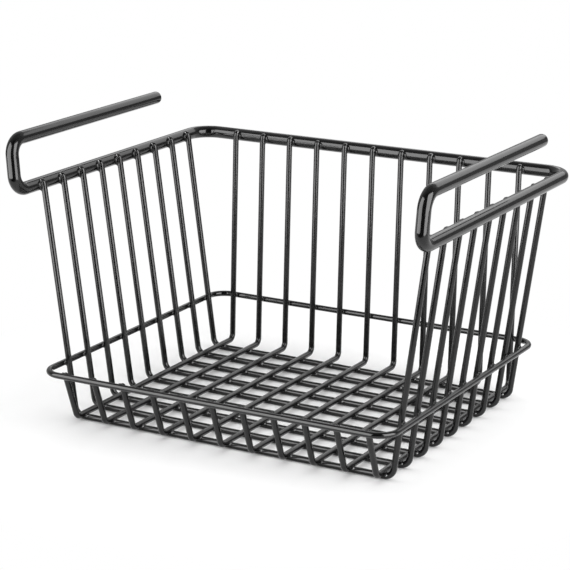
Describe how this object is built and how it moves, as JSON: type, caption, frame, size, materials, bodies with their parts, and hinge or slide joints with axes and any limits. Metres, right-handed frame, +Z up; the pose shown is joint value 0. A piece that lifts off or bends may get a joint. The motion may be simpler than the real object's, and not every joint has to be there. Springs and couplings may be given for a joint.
{
  "type": "under shelf basket",
  "caption": "Welded wire basket that hangs under a shelf by two rod arms, open at the front and the top, with a square mesh floor and a low ring around it.",
  "frame": {"origin": "centre of the bounding box's base, on the surface that the basket stands on", "axes": "+X to the right along the back wall, +Y from the open front to the back wall, +Z up"},
  "size_m": [0.3068, 0.2396, 0.1961],
  "materials": {
    "rod_coating": "satin black coating on steel rod",
    "wire_coating": "satin black coating on steel wire"
  },
  "bodies": {
    "root": {"upper_frame": "rod_coating", "lower_ring": "wire_coating", "lengthwise_wire_01": "wire_coating", "lengthwise_wire_02": "wire_coating", "lengthwise_wire_03": "wire_coating", "lengthwise_wire_04": "wire_coating", "lengthwise_wire_05": "wire_coating", "lengthwise_wire_06": "wire_coating", "lengthwise_wire_07": "wire_coating", "lengthwise_wire_08": "wire_coating", "lengthwise_wire_09": "wire_coating", "lengthwise_wire_10": "wire_coating", "lengthwise_wire_11": "wire_coating", "cross_wire_01": "wire_coating", "cross_wire_02": "wire_coating", "cross_wire_03": "wire_coating", "cross_wire_04": "wire_coating", "cross_wire_05": "wire_coating", "cross_wire_06": "wire_coating", "cross_wire_07": "wire_coating", "cross_wire_08": "wire_coating", "cross_wire_09": "wire_coating"}
  },
  "joints": []
}
